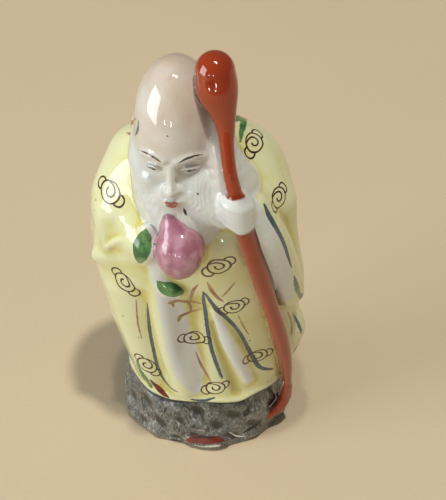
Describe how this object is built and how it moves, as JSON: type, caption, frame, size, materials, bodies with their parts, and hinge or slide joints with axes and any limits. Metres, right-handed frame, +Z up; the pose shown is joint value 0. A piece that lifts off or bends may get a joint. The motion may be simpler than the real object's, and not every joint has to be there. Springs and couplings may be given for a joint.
{
  "type": "porcelain figure",
  "caption": "Small glazed porcelain figure of a bearded old man in a long robe, with a knobbed staff and a peach, standing on a low rock base.",
  "frame": {"origin": "on the ground, under the middle of the figure's box", "axes": "+Z up, along the figure's height; -Y is the way the figure faces; +X is on the side of the staff"},
  "size_m": [0.0452, 0.0362, 0.1041],
  "materials": {
    "glazed_porcelain": "glossy clear glaze over painted colours: pale yellow robe, white head and beard, iron red staff, grey rock"
  },
  "bodies": {
    "root": {"porcelain_figure": "glazed_porcelain"}
  },
  "joints": []
}
